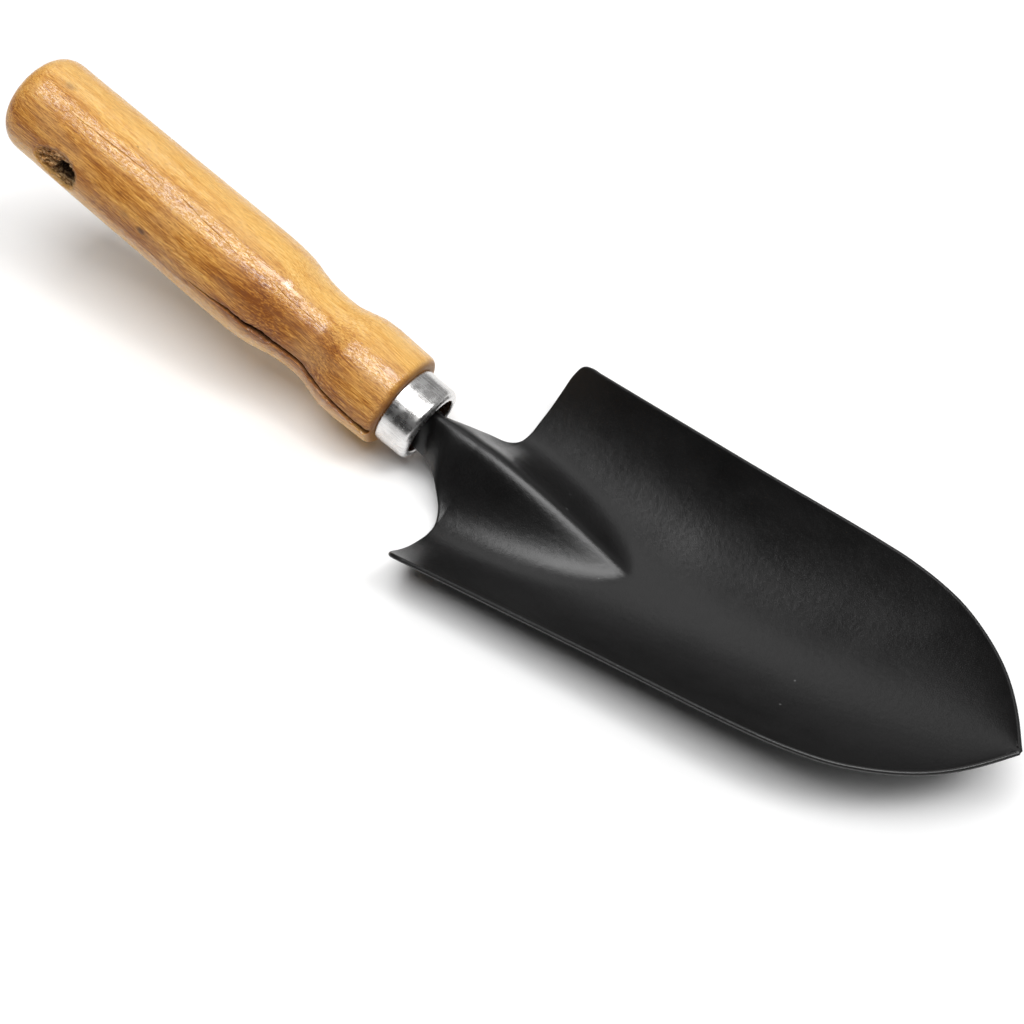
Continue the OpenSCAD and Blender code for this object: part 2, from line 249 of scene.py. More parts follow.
def build_blade():
    top = math.radians(76)
    fine = np.linspace(0, 1, 361)

    def rows_at(xo, yo, xc):
        m = ramp(11, 24, xc)[:, None]
        s = (1 - m) * np.sin(top * fine) / math.sin(top) + m * fine
        x = xc[:, None] + (xo - xc)[:, None] * s
        y = yo[:, None] * s
        return np.stack([x, y, height(x, y)], -1)

    # the outline from the neck round the rear corner, then along the side to the tip
    k = np.vstack([REAR, [(x, float(wide(np.array(x))), float(centre_x(np.array(x)))) for x in (34.0, 37.0)]])
    ch = np.concatenate([[0], np.cumsum(np.hypot(np.diff(k[:, 0]), np.diff(k[:, 1])) + .15 * np.abs(np.diff(k[:, 2])))])
    t = np.concatenate([np.linspace(ch[i], ch[i + 1], 7)[:-1] for i in range(1, len(k) - 2)])
    a = herm(ch, k, t, weighted=True)
    xs = np.concatenate([np.linspace(34, 160, 112)[:-1], np.linspace(160, 172, 17)[:-1],
                         172 + 6.9 * np.sin(np.linspace(0, np.pi / 2, 22))])
    main = rows_at(np.concatenate([a[:, 0], xs]), np.concatenate([a[:, 1], wide(xs)]), np.concatenate([a[:, 2], centre_x(xs)]))
    # the tang, joined to the neck's first rows
    ty = TANG[:, 1:2] * np.sin(top * fine) / math.sin(top)
    tz = TANG[:, 2:3] - (TANG[:, 2:3] - TANG[:, 3:4]) * (1 - np.cos(top * fine)) / (1 - math.cos(top))
    tx = np.repeat(TANG[:, :1], len(fine), 1)
    tang = np.stack([tx * CA + tz * SA, ty, -tx * SA + tz * CA], -1)
    first = rows_at(REAR[:3, 0], REAR[:3, 1], REAR[:3, 2])
    ctrl = np.concatenate([tang, first])
    cl = np.concatenate([[0], np.cumsum(np.linalg.norm(np.diff(ctrl[:, 0], axis=0), axis=1))])
    n_to = len(TANG) + 1
    tt = np.concatenate([np.linspace(cl[i], cl[i + 1], 7 if i >= 6 else 5)[:-1] for i in range(n_to)])
    rows = np.concatenate([herm(cl, ctrl, tt, weighted=True), main])

    # columns: even along each row, then close together where the edge rounds over
    edge = rows[:, -1]
    tangent = np.gradient(edge, axis=0)
    tangent /= np.linalg.norm(tangent, axis=1)[:, None] + 1e-12
    out = edge - rows[:, -12]
    out /= np.linalg.norm(out, axis=1)[:, None] + 1e-12
    sinphi = np.clip(np.linalg.norm(np.cross(tangent, out), axis=1), .35, 1)
    seg = np.linalg.norm(np.diff(rows, axis=1), axis=2)
    arc = np.concatenate([np.zeros((len(rows), 1)), np.cumsum(seg, axis=1)], 1)
    near = np.array([1.15, .80, .60, .46, .33, .21, .11, .035, 0])
    n_in = 56
    half = np.empty((len(rows), n_in + len(near), 3))
    for i in range(len(rows)):
        L = arc[i, -1]
        d = near / sinphi[i] * min(1, .7 * L / (near[0] / sinphi[i]))
        at = np.concatenate([(L - d[0]) * np.linspace(0, 1, n_in + 1)[:-1] ** 1.3, L - d])
        for c in range(3):
            half[i, :, c] = np.interp(at, arc[i], rows[i, :, c])
    grid = np.concatenate([half[:, :0:-1] * [1, -1, 1], half], 1)
    nr, nc = grid.shape[:2]

    # pressed sheet is never quite even
    x, y = grid[..., 0], grid[..., 1]
    grid[..., 2] += ramp(20, 34, x) * ramp(.0, .25, 1 - np.abs(y) / (wide(np.clip(x, 28, 178)) + 1)) * .05 * (.5 + .5 * noise(x / 13, y / 11, 5, 2))

    normal = np.cross(np.gradient(grid, axis=0), np.gradient(grid, axis=1))
    normal /= np.linalg.norm(normal, axis=2)[..., None] + 1e-12

    border = np.concatenate([grid[:, 0], grid[-1, 1:-1], grid[::-1, -1], grid[0, -2:0:-1]])
    s0, s1 = border, np.roll(border, -1, axis=0)
    ds = s1 - s0
    dd = (ds ** 2).sum(1) + 1e-12
    check = np.zeros((nr, nc), bool)
    check[:, :len(near) + 1] = check[:, -len(near) - 1:] = True
    check[x > TIP - 3.0] = True
    check[:10] = True
    h = np.full((nr, nc), THICK / 2)
    ids = np.argwhere(check)
    r = THICK / 2
    for c0 in range(0, len(ids), 600):
        part = ids[c0:c0 + 600]
        p = grid[part[:, 0], part[:, 1]]
        rel = p[:, None] - s0[None]
        tpar = np.clip((rel * ds).sum(2) / dd, 0, 1)
        dist = np.sqrt(((rel - tpar[..., None] * ds) ** 2).sum(2).min(1))
        dist = np.minimum(dist, r)
        h[part[:, 0], part[:, 1]] = np.sqrt(np.maximum(0, r * r - (r - dist) ** 2))
    h[:, 0] = h[:, -1] = 0
    h[0] = h[-1] = 0
    up = (grid + normal * h[..., None]).reshape(-1, 3)
    dn = (grid - normal * h[..., None]).reshape(-1, 3)
    on_border = np.zeros((nr, nc), bool)
    on_border[0] = on_border[-1] = True
    on_border[:, 0] = on_border[:, -1] = True
    ob_flat = on_border.ravel()
    low = np.arange(nr * nc)
    low[~ob_flat] = nr * nc + np.arange((~ob_flat).sum())
    verts = np.concatenate([up, dn[~ob_flat]])
    verts = verts + [SHX, 0, SHZ]
    idx = np.arange(nr * nc).reshape(nr, nc)
    a0, a1, a2, a3 = idx[:-1, :-1].ravel(), idx[1:, :-1].ravel(), idx[1:, 1:].ravel(), idx[:-1, 1:].ravel()
    faces = np.concatenate([np.stack([a0, a1, a2, a3], 1), low[np.stack([a0, a3, a2, a1], 1)]])
    ob = make_object("blade_sheet", verts * MM, faces.tolist())
    return ob


# ================================================================ the handle
LEN, GRIP_R = 131.5, 14.7
GRIP = np.array([(.048, .959), (.09, .957), (.15, .963), (.22, .968), (.30, .974), (.38, .981),
                 (.46, .990), (.54, .997), (.60, 1.), (.645, .990), (.68, .957), (.71, .895),
                 (.74, .845), (.775, .818), (.81, .827), (.84, .888), (.87, .952), (.905, .968),
                 (.945, .957), (.985, .944)])
HOLE_X, HOLE_Z, HOLE_R = -107.0, 1.0, 3.8


def catmull(p, t):
    i = np.clip(np.floor(t).astype(int), 0, len(p) - 2)
    f = (t - i)[:, None]
    n = len(p) - 1
    a, b, c, d = p[np.clip(i - 1, 0, n)], p[i], p[np.clip(i + 1, 0, n)], p[np.clip(i + 2, 0, n)]
    return .5 * (2 * b + (c - a) * f + (2 * a - 5 * b + 4 * c - d) * f ** 2 + (3 * b - a - 3 * c + d) * f ** 3)


_g = catmull(GRIP, np.linspace(0, len(GRIP) - 1, 1200))


def grip_r(x):
    return np.interp(x, _g[:, 0] * LEN - LEN, _g[:, 1] * GRIP_R)


# the long crack on the near side: place round the handle in degrees, and half the width of its mouth in mm
CRACK = np.array([(-131, 176), (-90, 177), (-66, 174), (-54, 170), (-48.7, 168), (-44.2, 170), (-39.6, 169), (-35, 172),
                  (-30.9, 171), (-26.5, 170), (-22.3, 172), (-18.4, 172), (-14.1, 174), (-8.8, 177), (-3.5, 180), (0, 180)])
CRACK_W = np.array([(-66, 0), (-60, .08), (-52, .17), (-47.5, .30), (-44.5, .44), (-41, .54), (-38, .56), (-35.5, .50), (-32, .42),
                    (-27, .33), (-23.5, .38), (-20, .42), (-16, .32), (-11, .33), (-7, .38), (-4.5, .50), (-2.8, .80), (-1.2, .70), (0, .35)])
# the fine check along the top
HAIR = np.array([(-131, 112), (-113, 112.1), (-106.3, 110.5), (-99.6, 109.2), (-92.6, 108.5), (-82.9, 107.4), (-76.5, 105.4),
                 (-67.9, 109), (-57.5, 111.7), (-54.1, 114.3), (-47, 112.5), (-41.8, 111.7), (-36.7, 113.7), (-31.9, 112.5), (-23.3, 112.8), (0, 113)])
HAIR_S = np.array([(-117, 0), (-113, .35), (-108, .7), (-106, .25), (-103, .9), (-94, .9), (-88, .5), (-84, .8), (-82, 0), (-77.5, 0), (-75, .7), (-70, .9), (-68, .3),
                   (-66, .9), (-58, .7), (-54, 0), (-46, 0), (-42, .5), (-38, .8), (-34, .45), (-30, .7), (-22, .4), (-16, 0), (0, 0)])
MOUTH = np.array([(0, 4.3), (35, 5.2), (65, 5.6), (90, 5.7), (115, 6.3), (135, 7.2), (155, 8.8), (172, 10.6), (188, 10.2), (205, 7.6),
                  (230, 6.0), (270, 5.0), (315, 4.8), (345, 4.5), (360, 4.3)])


def build_handle():
    # profile rows: x, r, and 1 on the outer skin
    g0 = GRIP[0, 1] * GRIP_R
    rows = [(-LEN, r, 1) for r in np.linspace(.9, g0 - .05 - 6.3, 9)[:-1]]
    for a in np.linspace(0, np.pi / 2, 17):
        rows.append((-LEN + 6.3 * (1 - math.cos(a)), g0 - .05 - 6.3 + 6.3 * math.sin(a), 1))
    step = np.concatenate([np.arange(-LEN + 6.3 + .4, -120, .5), np.arange(-120, -100, .26), np.arange(-100, -58, .62),
                           np.arange(-58, -2.2, .42)])
    rows += [(x, None, 1) for x in step]
    r1, hh = GRIP[-1, 1] * GRIP_R, LEN * .015
    for a in np.linspace(0, np.pi / 2, 10):
        rows.append((-hh + hh * math.sin(a), r1 - hh * (1 - math.cos(a)), 1))
    tr = 11 - 1.0 - .15
    rows += [(0, 11.2, .5), (0, 10.5, 0), (0, tr, 0), (.3, tr, 0), (2.2, tr, 0), (4.3, tr, 0), (4.6, tr - .05, 0), (4.95, tr - .5, 0), (5, tr - .75, 0),
             (5, 8.7, 0), (4.95, 8.25, 0), (3.5, 7.70, 0), (1, 6.87, 0), (-1.5, 6.03, 0), (-3.7, 5.3, 0), (-4.2, 5.2, 0)]
    rows += [(x, 5.2, 0) for x in (-8, -14, -22, -30, -38, -46, -53.6)]
    rows += [(-54, 4.9, 0), (-54, 3.6, 0), (-54, 2.4, 0), (-54, 1.2, 0)]
    X = np.array([r[0] for r in rows])
    skin = np.array([r[2] for r in rows], float)
    R = np.array([grip_r(r[0]) if r[1] is None else r[1] for r in rows])

    # columns round the handle, in degrees, close together along the crack and the check
    off = np.array([.35, .72, 1.12, 1.6, 2.15, 2.8, 3.5, 4.3, 5.2])
    crack_cols = np.concatenate([172 - off[::-1], [172], 172 + off])
    hair_off = np.array([.22, .46, .75, 1.15, 1.8])
    hair_cols = np.concatenate([110 - hair_off[::-1], [110], 110 + hair_off])
    cols = np.concatenate([np.linspace(-157, 108, 92)[1:-1], hair_cols, np.linspace(111.8, 148, 14)[1:], np.arange(149.5, 166.4, 1.35), crack_cols,
                           np.arange(178.4, 196, 1.35), np.linspace(196.8, 203, 3)])
    cols = np.unique(np.round(cols, 3))
    cols = np.concatenate([cols[:1], cols[1:][np.diff(cols) > .15]])
    Phi = cols[None, :] * np.ones((len(X), 1))
    Xg = X[:, None] * np.ones((1, len(cols)))
    Rg = R[:, None] * np.ones((1, len(cols)))
    Sk = skin[:, None] * np.ones((1, len(cols)))
    onb = (Sk > .4)
    w1 = 1 - ramp(5, 24, np.abs(Phi - 172))
    w2 = 1 - ramp(2.5, 26, np.abs(Phi - 110))
    c1 = np.interp(Xg, CRACK[:, 0], CRACK[:, 1]) + .55 * noise(Xg / 3.1, 0 * Xg, 11, 2) + .25 * noise(Xg / .9, 0 * Xg, 12, 1)
    c2 = np.interp(Xg, HAIR[:, 0], HAIR[:, 1]) + .35 * noise(Xg / 4.0, 0 * Xg, 13, 2)
    th_deg = Phi + np.where(onb, w1 * (c1 - 172) + w2 * (c2 - 110), 0)
    th = np.radians(th_deg)

    d = np.zeros_like(Xg)
    body = ramp(-LEN, -LEN + 2.5, Xg) * np.where(Sk > .9, 1, 0) * (1 - ramp(-1.2, -.2, Xg))
    # turned and sanded wood: a little out of round, with soft flats
    d += body * (.09 * ring_noise(Xg, th, 1 / 26, 5, 21, 2) + .035 * ring_noise(Xg, th, 1 / 9, 14, 22, 2))
    # the crack
    u = (Phi - 172) * np.pi / 180 * Rg
    cw = 1.6 * np.interp(Xg, CRACK_W[:, 0], CRACK_W[:, 1]) * (1 + .18 * noise(Xg / 1.3, 0 * Xg, 31, 2))
    cw = np.maximum(cw, 0)
    open_ = ramp(.03, .16, cw) * body
    lips = 1 - ramp(.78, 1.08, np.abs(u) / np.maximum(cw, .05))
    crack = lips * open_
    d -= crack * (.5 + 2.6 * np.minimum(cw, .6))
    # the sliver below the crack stands a little proud, and the wood over it rolls in to the crack
    run = np.interp(Xg, [-60, -50, -40, -20, -6, -1, 0], [0, .5, 1, 1, 1, .8, .3])
    below = np.maximum(0, (Phi - 172)) * np.pi / 180 * Rg
    above = np.maximum(0, (172 - Phi)) * np.pi / 180 * Rg
    d += body * run * .26 * np.where(Phi > 172, np.exp(-(below / 3.4) ** 2), 0) * (1 - crack)
    d -= body * run * .20 * np.where(Phi < 172, np.exp(-(above / .8) ** 2), 0) * (1 - crack)
    # the check along the top
    hs = np.interp(Xg, HAIR_S[:, 0], HAIR_S[:, 1]) * body
    uh = (Phi - 110) * np.pi / 180 * Rg
    hair = np.exp(-(uh / .08) ** 2) * hs
    d -= hair * .11
    d += .03 * hs * np.exp(-((uh - .32) / .2) ** 2)
    # the torn mouths of the hang hole
    Y, Z = Rg * np.cos(th), Rg * np.sin(th)
    hx, hz = Xg - HOLE_X, Z - HOLE_Z
    rho = np.hypot(hx, hz)
    pol = np.degrees(np.arctan2(hz, hx)) % 360
    rb = np.interp(pol, MOUTH[:, 0], MOUTH[:, 1])
    rb = rb + .35 * noise(pol / 9, 0 * pol, 41, 2)
    near = (Y < 0) & onb
    t = np.clip((rb - rho) / np.maximum(.6, rb - 3.55), 0, 1.15)
    left = ramp(120, 165, pol) * (1 - ramp(200, 240, pol))
    fibre = noise(hx * .30 + .12 * hz, (hz - .16 * hx) * 2.3, 43, 2)
    fibre2 = noise(hx * .8, (hz + .2 * hx) * 3.6, 44, 2)
    deep = (1.15 + 1.0 * left) * t ** .85
    torn = np.where(near, deep * (1 + left * .85 * fibre + .50 * fibre2), 0)
    torn += np.where(near & (t > .02), .38 * (.35 + left) * ramp(0, .2, t) * fibre2, 0)
    lipup = np.where(near, .12 * np.exp(-((rho - rb - .35) / .5) ** 2), 0)
    far_t = np.clip((4.7 + .3 * noise(pol / 14, 0 * pol, 45, 2) - rho) / 1.1, 0, 1.1)
    torn += np.where((Y > 0) & onb, .55 * far_t, 0)
    d -= torn * body
    d += lipup * body
    Rg2 = Rg + d
    P = np.stack([Xg, Rg2 * np.cos(th), Rg2 * np.sin(th)], -1)
    # the butt's flat carries a few turning marks
    flat = (Xg <= -LEN + 1e-6) & (Rg < 8)
    P[..., 0] += np.where(flat, .05 * np.cos(Rg * 3.1) + .04 * noise(Rg, th, 51), 0)
    # masks for the finish
    crack_mask = np.clip(crack * 1.15, 0, 1)
    hair_mask = np.exp(-(uh / .11) ** 2) * hs
    mouth_mask = np.where(near, np.clip(t, 0, 1) ** .6 * (.75 + .45 * fibre2 * left + .2 * left), 0) + np.where((Y > 0) & onb, .6 * np.clip(far_t, 0, 1), 0)
    tenon = np.where(Sk < .4, 1.0, 0.0)
    # darker along the margins of the crack
    near_crack = open_ * np.exp(-(u / (cw + .35)) ** 2) * .8
    nr, nc = Xg.shape
    verts = P.reshape(-1, 3).tolist()
    faces = []
    for i in range(nr - 1):
        b0, b1 = i * nc, (i + 1) * nc
        for j in range(nc):
            k = (j + 1) % nc
            faces.append((b0 + j, b1 + j, b1 + k, b0 + k))
    verts.append((-LEN + .03, 0, 0))
    verts.append((-54, 0, 0))
    pole, end = nr * nc, nr * nc + 1
    for j in range(nc):
        k = (j + 1) % nc
        faces.append((pole, j, k))
        faces.append((end, (nr - 1) * nc + k, (nr - 1) * nc + j))
    # tone of the varnished wood and painted shade: the side band from the top round to the near side is painted browner
    # as shade, the waist is browner too, and random tone lies over both
    a = th_deg
    side = (.50 * ramp(82, 102, a) + .50 * ramp(112, 150, a)) * (1 - ramp(176, 200, a))
    waist = ramp(-62, -42, Xg) * (1 - ramp(-20, -8, Xg))
    tone_and_shade = side * (.62 + .25 * noise(Xg / 17, a / 9, 61, 2)) + waist * ramp(96, 128, a) * (1 - ramp(168, 186, a)) * (.42 + .2 * noise(Xg / 5, a / 5, 62, 2))
    tone_and_shade += .15 * ring_noise(Xg, th, 1 / 22, 9, 63, 2)
    tone_and_shade = np.clip(tone_and_shade, 0, 1) * ramp(-LEN - .5, -LEN + 4, Xg) + .25 * (1 - ramp(-LEN - .5, -LEN + 4, Xg))
    att = {}
    pad = [0.0, 0.0]
    att["split"] = np.concatenate([np.clip(crack_mask, 0, 1).ravel(), pad])
    att["check"] = np.concatenate([np.clip(hair_mask, 0, 1).ravel(), pad])
    att["torn"] = np.concatenate([np.clip(mouth_mask, 0, 1).ravel(), pad])
    att["crack_margin"] = np.concatenate([np.clip(near_crack, 0, 1).ravel(), pad])
    att["bare"] = np.concatenate([tenon.ravel(), [0.0, 1.0]])
    att["tone_and_shade"] = np.concatenate([tone_and_shade.ravel(), [float(tone_and_shade[0].mean()), 0.0]])
    ob = make_object("handle_turned", np.array(verts) * MM, faces, attributes=att)

    # the hole itself, cut through
    n, m = 72, 46
    cv, cf = [], []
    for i in range(m + 1):
        y = -20 + 40 * i / m
        for j in range(n):
            b = 2 * math.pi * j / n
            rr = 3.62 + .10 * float(noise(y / 5, j / 9 * 1.0, 71, 2)) * (1 - abs(2 * j / n - 1)) + .05 * math.sin(3 * b + y * .3)
            cv.append(((HOLE_X + rr * math.cos(b)) * MM, y * MM, (HOLE_Z + rr * math.sin(b)) * MM))
    for i in range(m):
        for j in range(n):
            k = (j + 1) % n
            cf.append((i * n + j, i * n + k, (i + 1) * n + k, (i + 1) * n + j))
    cf.append(tuple(range(n))[::-1])
    cf.append(tuple(m * n + j for j in range(n)))
    cutter = make_object("cutter", cv, cf)
    bm = bmesh.new()
    bm.from_mesh(cutter.data)
    bmesh.ops.recalc_face_normals(bm, faces=bm.faces)
    bm.to_mesh(cutter.data)
    bm.free()
    bm = bmesh.new()
    bm.from_mesh(ob.data)
    bmesh.ops.recalc_face_normals(bm, faces=bm.faces)
    bm.to_mesh(ob.data)
    bm.free()
    mod = ob.modifiers.new("hole", "BOOLEAN")
    mod.operation = "DIFFERENCE"
    mod.solver = "EXACT"
    mod.object = cutter
    dg = bpy.context.evaluated_depsgraph_get()
    me = bpy.data.meshes.new_from_object(ob.evaluated_get(dg))
    ob.modifiers.clear()
    old = ob.data
    ob.data = me
    bpy.data.meshes.remove(old)
    me.name = "handle_turned"
    bpy.data.objects.remove(cutter)
    me.polygons.foreach_set("use_smooth", [True] * len(me.polygons))
    sharpen(ob, 42)
    ob.matrix_world = ON_HANDLE
    return ob


# ================================================================ the ferrule
def build_ferrule():
    ro, wall, ln, lip = 11.0, 1.0, 9.7, 8.4
    rf, bend, tip = ro - .15, 1.7, .45
    p = []
    for a in np.linspace(np.pi, 0, 9)[1:]:          # rounded back rim
        p.append((ro - .5 + .5 * math.cos(a) if a else ro, .30 - .30 * math.sin(a)))
    for x in np.linspace(.5, ln - bend, 26):
        p.append((ro + (rf - ro) * x / (ln - bend), x))
    for a in np.linspace(0, np.pi / 2, 15)[1:]:
        p.append((rf - bend * (1 - math.cos(a)), ln - bend + bend * math.sin(a)))
    for r in np.linspace(rf - bend, lip + tip, 5)[1:-1]:
        p.append((r, ln))
    for a in np.linspace(0, np.pi, 13):
        p.append((lip + tip - tip * math.sin(a), ln - wall / 2 + wall / 2 * math.cos(a)))
    for a in np.linspace(0, np.pi / 2, 7):
        b = bend - wall
        p.append((rf - bend + b * math.sin(a), ln - bend + b * math.cos(a)))
    for x in np.linspace(ln - bend, .3, 10)[1:]:
        p.append((ro - wall, x))
    p = np.array(p)
    n = 192
    th = np.linspace(0, 2 * np.pi, n, endpoint=False)
    R = p[:, 0][:, None] * np.ones((1, n))
    X = p[:, 1][:, None] * np.ones((1, n))
    T = th[None, :] * np.ones((len(p), 1))
    outer = (np.arange(len(p)) < 8 + 26 + 14)[:, None]
    R = R + np.where(outer, .014 * ring_noise(X, T, 1 / 30, 7, 81, 1) + .006 * ring_noise(X, T, 1 / 5, 16, 82, 1), 0) * ramp(0, 1.2, X)
    X = X + np.where((X > ln - 1.2), .06 * ring_noise(X * 0, T, 1, 6, 83, 2), 0) * ramp(lip, 9.5, R)
    R = np.where(R < ro - .98, np.minimum(R, 10.0), R)
    verts = np.stack([X, R * np.cos(T), R * np.sin(T)], -1).reshape(-1, 3)
    k = len(p)
    faces = []
    for i in range(k):
        i2 = (i + 1) % k
        for j in range(n):
            j2 = (j + 1) % n
            faces.append((i * n + j, i * n + j2, i2 * n + j2, i2 * n + j))
    ob = make_object("ferrule_cup", verts * MM, faces)
    bm = bmesh.new()
    bm.from_mesh(ob.data)
    bmesh.ops.recalc_face_normals(bm, faces=bm.faces)
    bm.to_mesh(ob.data)
    bm.free()
    sharpen(ob, 50)
    ob.matrix_world = ON_HANDLE
    return ob


# ================================================================ materials
class Tree:
    """A short way to write a node tree."""

    def __init__(self, name):
        self.mat = bpy.data.materials.new(name)
        self.mat.use_nodes = True
        self.t = self.mat.node_tree
        self.t.nodes.clear()
        self.out = self.t.nodes.new("ShaderNodeOutputMaterial")
        self.bsdf = self.t.nodes.new("ShaderNodeBsdfPrincipled")
        self.t.links.new(self.bsdf.outputs[0], self.out.inputs[0])
        self.obj = self.t.nodes.new("ShaderNodeTexCoord").outputs["Object"]

    def put(self, node, key, value):
        s = node.inputs[key]
        if isinstance(value, bpy.types.NodeSocket):
            self.t.links.new(value, s)
        else:
            s.default_value = value

    def math(self, op, a, b=0.0, c=None, clamp=False):
        n = self.t.nodes.new("ShaderNodeMath")
        n.operation, n.use_clamp = op, clamp
        self.put(n, 0, a)
        self.put(n, 1, b)
        if c is not None:
            self.put(n, 2, c)
        return n.outputs[0]

    def vmath(self, op, a, b=(0, 0, 0)):
        n = self.t.nodes.new("ShaderNodeVectorMath")
        n.operation = op
        self.put(n, 0, a)
        self.put(n, 1, b)
        return n.outputs["Value"] if op in ("LENGTH", "DISTANCE", "DOT_PRODUCT") else n.outputs[0]

    def split(self, v):
        n = self.t.nodes.new("ShaderNodeSeparateXYZ")
        self.put(n, 0, v)
        return n.outputs

    def join(self, x, y, z):
        n = self.t.nodes.new("ShaderNodeCombineXYZ")
        for i, v in enumerate((x, y, z)):
            self.put(n, i, v)
        return n.outputs[0]

    def noise(self, v, scale=1.0, detail=2.0, rough=.5, distortion=0.0, out="Fac"):
        n = self.t.nodes.new("ShaderNodeTexNoise")
        self.put(n, "Vector", v)
        n.inputs["Scale"].default_value = scale
        n.inputs["Detail"].default_value = detail
        n.inputs["Roughness"].default_value = rough
        n.inputs["Distortion"].default_value = distortion
        return n.outputs[out]

    def voronoi(self, v, scale=1.0, feature="F1", out="Distance", randomness=1.0):
        n = self.t.nodes.new("ShaderNodeTexVoronoi")
        n.feature = feature
        self.put(n, "Vector", v)
        n.inputs["Scale"].default_value = scale
        n.inputs["Randomness"].default_value = randomness
        return n.outputs[out]

    def range(self, v, a, b, lo=0.0, hi=1.0, smooth=True):
        n = self.t.nodes.new("ShaderNodeMapRange")
        n.interpolation_type = "SMOOTHSTEP" if smooth else "LINEAR"
        self.put(n, 0, v)
        for i, k in enumerate((a, b, lo, hi)):
            n.inputs[1 + i].default_value = k
        return n.outputs[0]

    def mix(self, f, a, b, mode="MIX"):
        n = self.t.nodes.new("ShaderNodeMix")
        n.data_type, n.blend_type = "RGBA", mode
        self.put(n, 0, f)
        self.put(n, 6, a)
        self.put(n, 7, b)
        return n.outputs[2]

    def ramp(self, f, stops):
        n = self.t.nodes.new("ShaderNodeValToRGB")
        self.put(n, 0, f)
        el = n.color_ramp.elements
        while len(el) > 1:
            el.remove(el[-1])
        el[0].position, el[0].color = stops[0][0], (*stops[0][1], 1)
        for pos, col in stops[1:]:
            e = el.new(pos)
            e.color = (*col, 1)
        return n.outputs[0]

    def attribute(self, name):
        n = self.t.nodes.new("ShaderNodeAttribute")
        n.attribute_name = name
        return n.outputs["Fac"]

    def bump(self, h, distance, strength=1.0, normal=None):
        n = self.t.nodes.new("ShaderNodeBump")
        n.inputs["Strength"].default_value = strength
        n.inputs["Distance"].default_value = distance
        self.put(n, "Height", h)
        if normal is not None:
            self.put(n, "Normal", normal)
        return n.outputs[0]


def rgb(*c):
    return (*c, 1.0)


